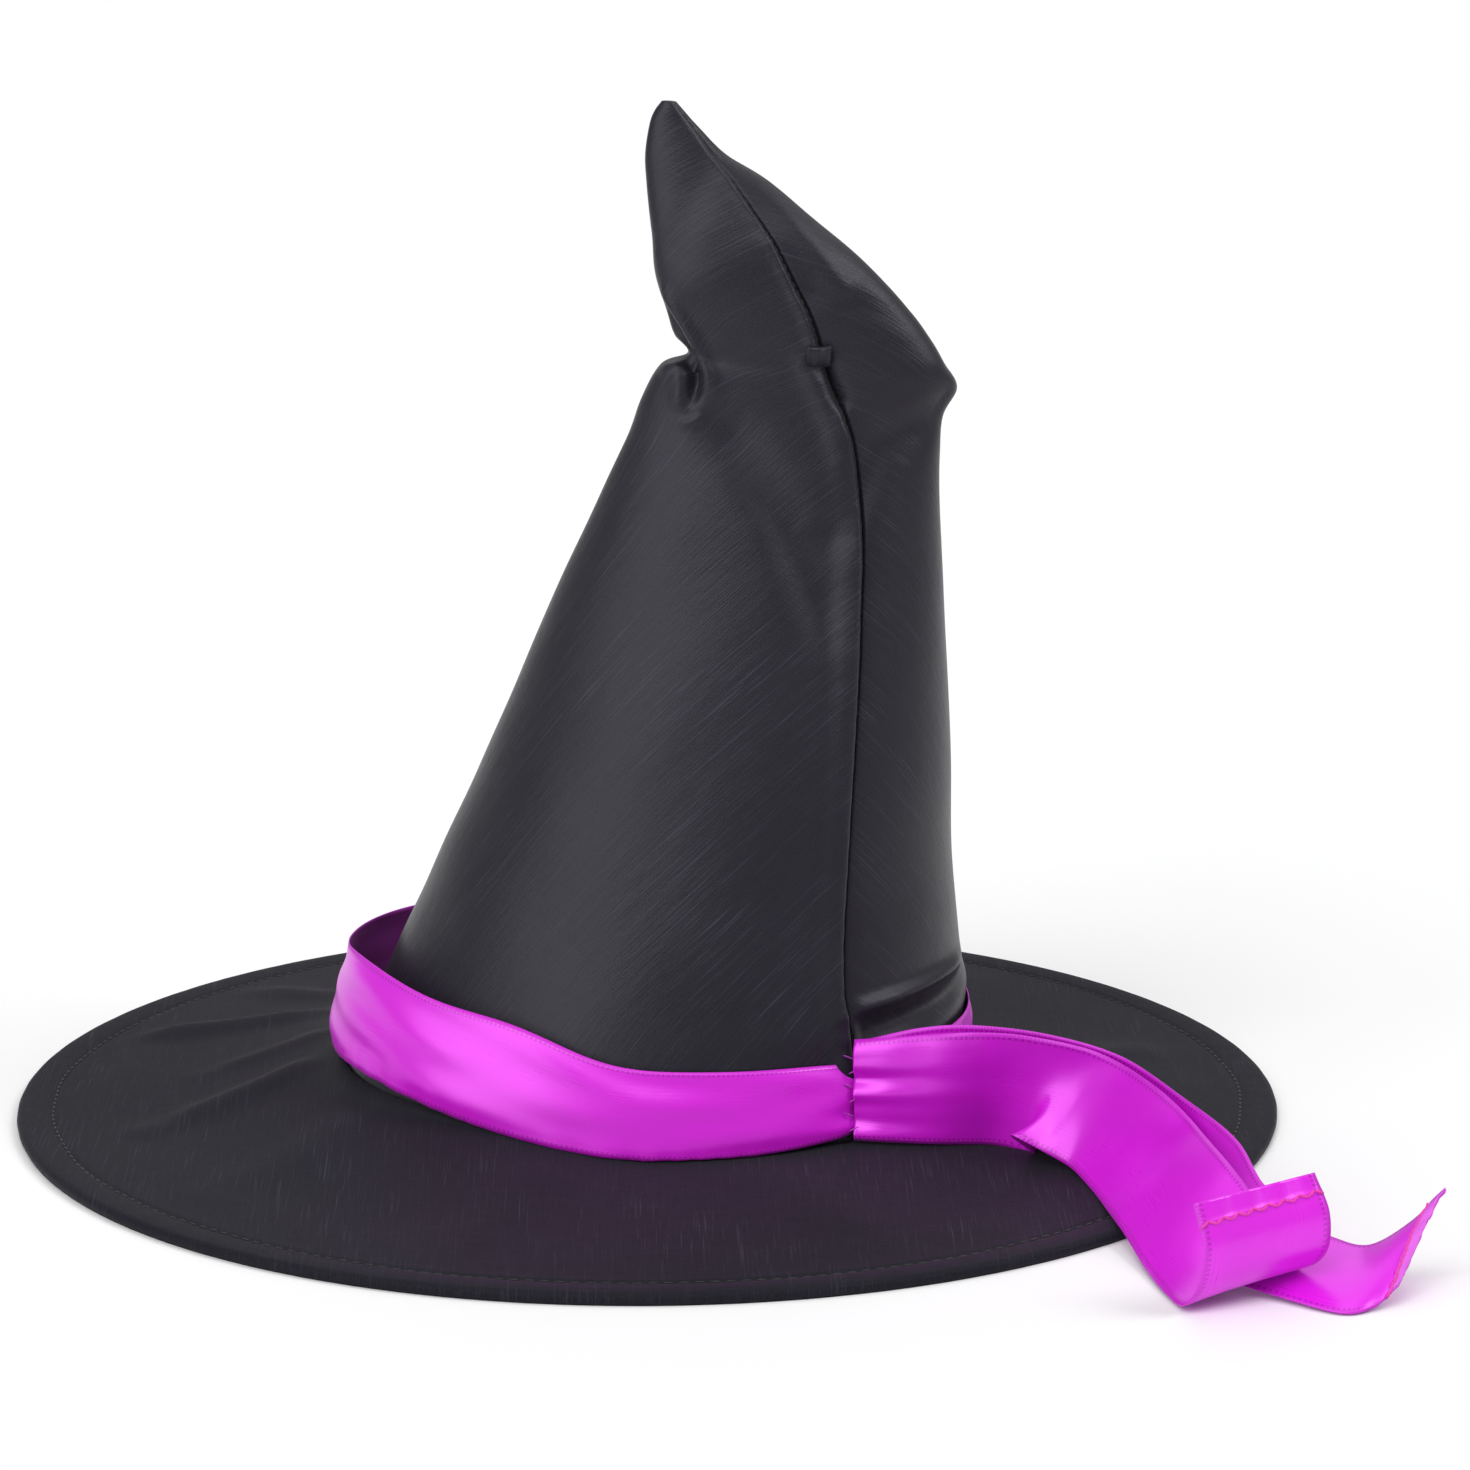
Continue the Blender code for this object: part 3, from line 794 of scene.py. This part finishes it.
def buildBrimUnder():
    values = brimValues
    turn = np.linspace(0, math.tau, values["around"] // 2 + 1)
    shares = np.concatenate([np.linspace(0, 0.85, 30), np.linspace(0.86, 1, 12)])
    plan = brimPlan(shares, turn, values["radius"] - 0.5)
    x, y = plan[..., 0], plan[..., 1]
    radius = np.hypot(x, y)
    loose = ramp(shares, 0.0, 0.12)[:, None] * (1 - ramp(radius, 160, 184))
    level = brimRise(shares)[:, None] + 0.36 + np.zeros_like(x)
    level += loose * 0.22 * (1 + ripple(waves(12, 6, 0.03, 0.09), x, y))
    level += 0.3 * bell(radius - values["stitchRadius"], 1.2)
    points = np.dstack([x, y, level])
    piece = sheetFromGrid("brim_under_skin", points, points[..., :2] * mm)
    joinSeam(piece)
    giveThickness(piece, values["thickness"], offset=1.0)
    piece.data.materials.append(brimSatin)
    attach(piece, "hat")
    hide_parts("brim_under")


def buildTopstitch():
    # evenly round the rim, by turns on top and under the brim
    radius, every = brimValues["stitchRadius"], brimValues["stitchEvery"]
    count = int(math.tau * radius / every)
    places = []
    for k in range(count):
        turn = math.tau * k / count
        out = radius + 0.35 * math.sin(turn * 9) + 0.25 * math.sin(turn * 23 + 1)
        spot = np.array([out * math.cos(turn), out * math.sin(turn), 0])
        run = np.array([-math.sin(turn), math.cos(turn), 0])
        places.append((spot + [0, 0, brimValues["stackTop"] - 0.02], run, (0, 0, 1)))
        places.append((spot + run * every / 2 + [0, 0, 0.24], run, (0, 0, 1)))
    piece = threadPiece("rim_stitches", places, brimValues["stitchSize"], blackThread)
    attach(piece, "hat")
    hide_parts("brim_topstitch")


buildBrimTop()
buildBrimUnder()
buildTopstitch()
for nodeName, paint in (("brim_interlining", felt), ("brim_hoop", hoopPlastic), ("hoop_joiner", joinerPlastic)):
    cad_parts[nodeName].data.materials.clear()
    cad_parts[nodeName].data.materials.append(paint)
print("brim ready")


bandValues = {
    "around": 260,
    "across": 22,
    "openTurn": math.radians(150),
    "tackTurn": math.radians(-51),
    "dentTurn": math.radians(-104),
    "girth": 610,
    "gatherReach": 0.10,
    # half length and half depth of the oval at the foot, and how much each shrinks to the upper edge
    "oval": (102.2, 92, 3.65, 8),
    "lowest": 8.4,
    # height of the ribbon's lower and upper edge round the cone, by turn in degrees
    "foot": [(-180, 22), (-152, 23.5), (-139, 20.8), (-126, 16.8), (-113, 13.2), (-104, 10.4), (-95, 8.6),
             (-86, 7.8), (-70, 8.4), (-60, 9.2), (-50, 10), (-20, 9.5), (20, 10), (60, 12), (100, 15),
             (140, 19)],
    "top": [(-180, 54), (-160, 57), (-147, 54.6), (-136, 50.5), (-122, 48), (-115, 46.6), (-108, 41),
            (-101, 36.2), (-96, 34.2), (-87, 34.2), (-72, 33), (-60, 33), (-50, 31), (-30, 33), (0, 34.5),
            (40, 41), (80, 46), (120, 50), (150, 52)],
    "thickness": 0.35,
}


def bandEdge(turn, table):
    # heights given at a few turns round the cone, joined smoothly
    angles = np.radians([row[0] for row in table])
    heights = np.array([row[1] for row in table], float)
    wrapped = np.concatenate([angles - math.tau, angles, angles + math.tau])
    fine = np.linspace(wrapped[0], wrapped[-1], 1200)
    line = np.interp(fine, wrapped, np.tile(heights, 3))
    soft = np.hanning(35)
    line = np.convolve(line, soft / soft.sum(), mode="same")
    return np.interp((turn + math.pi) % math.tau - math.pi, fine, line)


def buildBand():
    values = bandValues
    turn = np.linspace(0, math.tau, values["around"] + 1) + values["tackTurn"]
    share = np.linspace(0, 1, values["across"])
    lift = (1 + np.cos(turn - values["openTurn"])) / 2
    h = share[:, None]
    fromTack = np.minimum(turn - values["tackTurn"], math.tau - (turn - values["tackTurn"]))[None, :]
    gather = np.exp(-fromTack / values["gatherReach"])
    foot, top = bandEdge(turn, values["foot"]), bandEdge(turn, values["top"])
    level = foot[None, :] * (1 - h) + top[None, :] * h
    level = level + gather * (0.5 - h) * 2.0
    footX, footY, lessX, lessY = values["oval"]
    acrossX, acrossY = footX - lessX * h, footY - lessY * h
    loose = 0.8 * np.sin(turn[None, :] * 5 + 2.5 * h) * ramp(lift, 0.15, 0.6)[None, :] * h
    curl = -0.7 * bell(h, 0.10)
    crease = 0.7 * np.sin(h * 11 + 0.8) * gather + 0.3 * ripple(waves(21, 5, 3, 9), turn[None, :], h * 2)
    small = 0.30 * np.sin(turn * 61 + 3 * np.sin(turn * 9)) * (0.6 + 0.4 * np.sin(turn * 7))
    tucks = bell(h, 0.16) * small[None, :]
    dents = -2.0 * bell(h - 0.55, 0.36) * bell(turn - values["dentTurn"], 0.13)[None, :]
    swell = loose + curl + crease + tucks + dents + 0.9 * np.sin(math.pi * h) - 1.0 * gather
    points = np.empty(level.shape + (3,))
    points[..., 0] = 0.5 + 3.15 * h + (acrossX + swell) * np.cos(turn)[None, :]
    points[..., 1] = (acrossY + swell) * np.sin(turn)[None, :]
    points[..., 2] = np.maximum(level, values["lowest"])
    around = values["girth"] * mm * (turn - values["tackTurn"]) / math.tau
    flat = np.stack([ribbonValues["width"] * h + 0 * level, around[None, :] + 0 * level], axis=-1)
    piece = sheetFromGrid("ribbon_band", points[:, 1:-1], flat[:, 1:-1])
    piece.data.materials.append(purple)
    piece.data.materials.append(ribbonReversePaintedLight)
    # the band's inner face takes the reverse-side satin, which is painted lighter as painted light
    giveThickness(piece, values["thickness"], offset=0, insidePaint=1)
    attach(piece, "hat")
    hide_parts("hat_band")


tackStitches = {"count": 6, "size": (3.4, 0.5, 0.45), "zigzag": 0.8}


def buildTack():
    # hand stitches that draw the band and the two ends together into the seam
    low, high = [np.array(corner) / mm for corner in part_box("band_tack")]
    places = []
    for k in range(tackStitches["count"]):
        share = k / (tackStitches["count"] - 1)
        spot = low + (high - low) * np.array([0.5, share, share])
        sway = tackStitches["zigzag"] * (-1) ** k
        places.append((spot + [sway, 0, 0], (1, 0.15, 0.45 * (-1) ** k), (0.5, -0.8, 0)))
    piece = threadPiece("tack_stitches", places, tackStitches["size"], purpleThread)
    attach(piece, "hat")
    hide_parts("band_tack")


buildBand()
buildTack()
print("band ready")


frontTail = {
    "name": "ribbon_end_front",
    "body": "tail_front",
    "node": "ribbon_tail_front",
    "stitchNode": "hem_stitch_front",
    # lower edge, upper edge and how far the middle bellies out, from the tack to the hem
    "stations": [
        ((63, -72, 8.8), (62.6, -69.5, 39.5), 0.5),
        ((73, -74, 8.6), (73, -72, 41), 1.5),
        ((86, -74.5, 8), (85, -74.5, 42.8), 1.5),
        ((98, -73.5, 7), (97, -78.5, 44.8), 1.0),
        ((108, -73, 6.2), (108, -84, 45.4), 0.5),
        ((112.5, -76, 6.6), (117, -90, 45), -0.5),
        ((116.5, -79.5, 7), (125.5, -95.5, 44), -2.0),
        ((121, -84.5, 7), (133, -99.5, 42.5), -2.5),
        ((127, -92, 6.4), (141.5, -107, 40), -2.0),
        ((131, -106, 5), (150, -118, 37), -1.5),
        ((134.5, -125, 4.6), (156.5, -129, 34), 0.5),
        ((138, -150, 4.6), (162, -145, 31.5), 1.5),
        ((142, -173, 1.6), (168, -163, 28), 1.5),
        ((146, -194, 0.6), (176, -177, 19), 0.5),
        ((149.6, -208, 1.6), (184, -189, 8.4), 0.5),
        ((152.8, -213, 9.1), (190.6, -196, 13.8), 0.5),
        ((154.3, -213, 19.5), (191.4, -197, 25.5), 0.8),
        ((151.8, -209, 32.4), (187.4, -193.5, 36.4), 0.5),
    ],
    # how far the upper edge leans back, and its shift right and up, by station
    "lean": {4: (6, 0.4, 0.2), 5: (10, 1.2, 0.5), 6: (11.5, 1.8, 1.0), 7: (11.5, 2.0, 1.2), 8: (11, 2.2, 1.2),
             9: (10, 1.8, 0.8), 10: (9, 1.0, 0.4), 11: (7, 0.4, 0), 12: (5, 0, 0), 13: (3, 0, 0)},
    "gatherSide": 1.0,
    "hemSide": 1,
    "fold": 1.1,
    # where the lower edge doubles back: station and shift of the edge
    "pocket": {5: (5, -1, -1.6), 6: (-6.3, -4.5, 6.2), 7: (-2.5, -2.5, 3.0)},
}

backTail = {
    "name": "ribbon_end_back",
    "body": "tail_back",
    "node": "ribbon_tail_back",
    "stitchNode": "hem_stitch_back",
    "stations": [
        ((66, -70, 9), (65.5, -66, 38.5), 0.3),
        ((84, -69.5, 8.5), (83.5, -69.5, 43.5), 0.5),
        ((101, -68, 7.5), (100, -75, 45.8), 0.5),
        ((120, -69, 7), (121.5, -86, 45.8), -0.5),
        ((134, -82, 6), (143, -100.5, 42.5), -1.5),
        ((143, -108, 5.5), (159.5, -126, 36.6), -1.0),
        ((148, -139, 4.8), (171, -147.5, 31.5), 0.5),
        ((151, -166, 1.6), (177, -165, 23.5), 1.0),
        ((165, -186, 1.3), (187, -170, 15), 1.0),
        ((182, -203, 1.0), (196.5, -175, 11), 1.5),
        ((194, -211.5, 1.0), (206, -179, 10), 2.0),
        ((203, -208.5, 1.8), (217, -182, 17.5), 2.0),
        ((210.5, -202.5, 5.5), (227.5, -178, 26), 1.5),
    ],
    "lean": {2: (3, 0, 0), 3: (9, 0, -0.3), 4: (11, 0, 0), 5: (11, 0, 0), 6: (8.5, 0, 0), 7: (5, 0, 0)},
    "gatherSide": 0.4,
    "hemSide": 1,
    "fold": 0.3,
    "pocket": {},
}

tailValues = {
    "rowsPerStation": 20,
    "across": 26,
    "thickness": 0.34,
    "gatherReach": 13,
    "hem": 7.6,
    "hemGap": 0.62,
    "stitchFromEnd": 6.0,
    "stitchCount": 16,
    "stitchSize": (3.1, 0.9, 0.65),
    "stitchProud": 0.36,
    # the upper edges lean along lines from a viewer's eye, here
    "eye": (0, -1531, 465),
}


def leanBack(point, lean):
    # the point goes back along its line of sight, then to the right and up, to a tenth of a millimetre
    back, right, up = lean
    stretch = 1 + back / (point[1] - tailValues["eye"][1])
    x = point[0] * stretch + right
    z = tailValues["eye"][2] + (point[2] - tailValues["eye"][2]) * stretch + up
    return round(x, 1), point[1] + back, round(z, 1)


def tailGrid(tail):
    table = []
    for k, (low, high, belly) in enumerate(tail["stations"]):
        if k in tail["lean"]:
            high = leanBack(high, tail["lean"][k])
        table.append(low + high + (belly,) + tail["pocket"].get(k, (0, 0, 0)))
    last = len(table) - 1
    rows = throughPoints(table, np.linspace(0, last, last * tailValues["rowsPerStation"] + 1))
    low, high, belly, shift = rows[:, 0:3], rows[:, 3:6], rows[:, 6], rows[:, 7:10]
    run = lengthAlong((low + high) / 2)
    evenly = np.linspace(0, run[-1], len(run))
    low, high, shift = [readAlong(side, run, evenly) for side in (low, high, shift)]
    belly = np.interp(evenly, run, belly)
    share = np.linspace(0, 1, tailValues["across"])
    points = low[:, None] * (1 - share[None, :, None]) + high[:, None] * share[None, :, None]
    points = points + shift[:, None] * (1 - share[None, :, None]) ** 2.6
    normals = gridNormals(points, False)
    if normals[len(normals) // 3, 0, 1] > 0:
        normals = -normals
    t, s = share[None, :], evenly[:, None]
    swell = belly[:, None] * 4 * t * (1 - t)
    gather = tail["gatherSide"] * np.exp(-s / tailValues["gatherReach"])
    swell = swell + gather * (1.1 * np.sin(t * 17 + 0.4) + 0.6 * np.sin(t * 29))
    swell = swell + 0.5 * ripple(waves(31, 5, 0.03, 0.09), s, t * 38)
    swell = swell + tail["fold"] * np.sin(s * 0.105 - t * 2.4 + 0.5) * ramp(s, 12, 40) * (1 - ramp(s, 110, 150))
    swell = swell + 0.14 * (bell(t, 0.02) + bell(1 - t, 0.02))
    fromEnd = evenly[-1] - s
    swell = swell - 0.25 * bell(fromEnd - tailValues["stitchFromEnd"], 0.7)
    swell = swell + 0.35 * np.sin(t * 23 + 1) * np.exp(-fromEnd / 5) + 0.25 * np.sin(t * 51) * np.exp(-fromEnd / 3)
    points = points + normals * swell[..., None]
    flat = np.stack([ribbonValues["width"] * t + 0 * s, 0 * t + s * mm], axis=-1)
    return points, normals, evenly, flat


def hemGrid(points, normals, evenly, side):
    # the turned-under end, a second layer of ribbon behind the stitches
    rows = evenly > evenly[-1] - tailValues["hem"]
    return points[rows] + normals[rows] * side


def buildTail(tail):
    points, normals, evenly, flat = tailGrid(tail)
    piece = sheetFromGrid(tail["name"], points, flat)
    giveThickness(piece, tailValues["thickness"], offset=0)
    piece.data.materials.append(purple)
    hemPoints = hemGrid(points, normals, evenly, tailValues["hemGap"] * tail["hemSide"])
    hemFlat = flat[-len(hemPoints):] + [0, 0.5]
    hem = sheetFromGrid(tail["name"] + "_hem", hemPoints, hemFlat)
    giveThickness(hem, tailValues["thickness"], offset=0)
    # the hem shows the reverse-side satin, which is painted lighter as painted light
    hem.data.materials.append(ribbonReversePaintedLight)
    line = int(np.searchsorted(evenly, evenly[-1] - tailValues["stitchFromEnd"]))
    row, out = points[line], normals[line]
    count = tailValues["stitchCount"]
    places = []
    for k in range(count):
        share = (k + 0.5) / count * (len(row) - 1)
        i = min(int(share), len(row) - 2)
        f = share - i
        spot = row[i] * (1 - f) + row[i + 1] * f
        run = row[i + 1] - row[i]
        lean = points[line + 2, i] - points[line - 2, i]
        lean = lean / np.linalg.norm(lean)
        run = run / np.linalg.norm(run) + 0.5 * lean * (-1) ** k
        for side in (1, -1):
            # on the hem's side the stitch lies on top of the second layer
            proud = tailValues["stitchProud"] + (0.58 if side == tail["hemSide"] else 0)
            places.append((spot + out[i] * side * proud, run, out[i] * side))
    stitches = threadPiece(tail["name"] + "_stitches", places, tailValues["stitchSize"], pinkThread)
    for part in (piece, hem, stitches):
        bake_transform(part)
    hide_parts(tail["node"])
    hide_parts(tail["stitchNode"])
    length = evenly[-1] * mm
    round(length + 0.008, 3)
    print(tail["name"], "is", round(length * 1000), "mm long")


buildTail(frontTail)
buildTail(backTail)
print("ribbon ends ready")


insideValues = {
    "height": 20,
    "inset": 2.6,
    "thickness": 0.6,
    "girth": 590,
    # the cone's inner wall at 8 mm and at 52 mm: middle, half length, half depth
    "low": (0.5, 100.3, 90),
    "high": (9.5, 88.8, 75.5),
    "labelSize": (0.036, 0.016),
    "labelThickness": 0.3,
    "stitchOval": (98.3, 87.8, 4.35),
    "stitchCount": 190,
    "stitchSize": (3.4, 0.4, 0.35),
}


def insideRing(turn, level, inset):
    # follows the cone's wall at a height above the floor
    share = (level - 8) / (52 - 8)
    middle, length, depth = [a + (b - a) * share for a, b in zip(insideValues["low"], insideValues["high"])]
    return np.stack([middle + (length - inset) * np.cos(turn), (depth - inset) * np.sin(turn),
                     level + 0 * turn], axis=-1)


def buildSweatband():
    values = insideValues
    turn = np.linspace(0, math.tau, 193)
    share = np.linspace(0, 1, 14)
    levels = 8.3 + values["height"] * share
    points = np.stack([insideRing(turn, level, values["inset"] + 0.25 * math.sin(math.pi * up))
                       for up, level in zip(share, levels)])
    points[..., :2] += 0.12 * np.sin(turn * 40)[None, :, None] * (share ** 2)[:, None, None]
    around = values["girth"] * mm * turn / math.tau
    flat = np.stack([0.02 * share[:, None] + 0 * turn[None, :],
                     around[None, :] + 0 * levels[:, None]], axis=-1)
    piece = sheetFromGrid("sweatband_tape", points, flat)
    joinSeam(piece)
    giveThickness(piece, values["thickness"], offset=-1.0)
    piece.data.materials.append(grosgrain)
    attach(piece, "hat")
    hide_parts("sweatband")


def buildLabel():
    turn = np.radians(np.linspace(78, 102, 17))
    levels = np.linspace(11, 26, 10)
    across, up = np.linspace(0, 1, 17)[None, :], np.linspace(0, 1, 10)[:, None]
    # the upper edge is sewn to the sweatband and the lower one stands off
    insets = insideValues["inset"] + 1.5 - 0.25 * bell(levels - 26, 2.0)
    points = np.stack([insideRing(turn, level, inset) for level, inset in zip(levels, insets)])
    points[..., 1] -= 0.5 * bell(2 * across - 1, 0.25) * (1 - up)
    wide, high = insideValues["labelSize"]
    flat = np.stack([wide * across + 0 * up, high * up + 0 * across], axis=-1)
    piece = sheetFromGrid("blank_label", points, flat)
    giveThickness(piece, insideValues["labelThickness"], offset=0)
    piece.data.materials.append(labelTape)
    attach(piece, "hat")
    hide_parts("care_label")


def buildOpeningStitches():
    # overcast stitches that bind the under skin to the sweatband
    places = []
    count = insideValues["stitchCount"]
    length, depth, level = insideValues["stitchOval"]
    for k in range(count):
        turn = math.tau * k / count
        spot = np.array([0.5 + length * math.cos(turn), depth * math.sin(turn), level])
        out = np.array([math.cos(turn), math.sin(turn), 0])
        side = np.array([-math.sin(turn), math.cos(turn), 0])
        places.append((spot, out + 0.35 * side, (0, 0, -1)))
    piece = threadPiece("opening_stitches", places, insideValues["stitchSize"], blackThread)
    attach(piece, "hat")


buildSweatband()
buildLabel()
buildOpeningStitches()
print("head opening ready")


stageValues = {
    "floor": (0.90, 0.90, 0.905),
    "floorSize": 60,
    "worldStrength": 0.34,
    # name, direction, softness in degrees and strength
    "suns": [
        ("front", (0.25, 0.62, -1.00), 40, 1.00),
        ("left", (0.72, 0.62, -0.40), 50, 1.22),
        ("right", (-0.68, 0.12, -0.66), 30, 1.20),
        ("back", (-0.15, -0.70, -1.00), 60, 0.60),
    ],
    "cameraDistance": 1.6,
    "cameraHeight": math.radians(16.888),
    "pitch": math.radians(12.707),
    "yaw": math.radians(1.037),
    "lens": 122.04,
    "sensor": 36,
}


def buildStage():
    values = stageValues
    bpy.ops.object.select_all(action="DESELECT")
    bpy.ops.mesh.primitive_plane_add(size=values["floorSize"], location=(0, 2, 0))
    floor = bpy.context.object
    floor.name = "floor"
    paint = Paint("floor", values["floor"], 0.7)
    floor.data.materials.append(paint.material)
    world = bpy.data.worlds.new("studio")
    bpy.context.scene.world = world
    world.use_nodes = True
    sky = world.node_tree.nodes["Background"]
    sky.inputs["Color"].default_value = (1, 1, 1, 1)
    sky.inputs["Strength"].default_value = values["worldStrength"]
    for name, direction, softness, power in values["suns"]:
        bpy.ops.object.light_add(type="SUN", location=(0, 0, 2))
        lamp = bpy.context.object
        lamp.name = name
        lamp.data.angle = math.radians(softness)
        lamp.data.energy = power
        lamp.rotation_euler = Vector(direction).to_track_quat("-Z", "Y").to_euler()
    bpy.context.scene.view_settings.view_transform = "Standard"
    distance, height = values["cameraDistance"], values["cameraHeight"]
    bpy.ops.object.camera_add(location=(0, -distance * math.cos(height), distance * math.sin(height)),
                              rotation=(math.pi / 2 - values["pitch"], 0, -values["yaw"]))
    camera = bpy.context.object
    camera.data.lens = values["lens"]
    camera.data.sensor_width = values["sensor"]
    bpy.context.scene.camera = camera


buildStage()
print("stage ready")
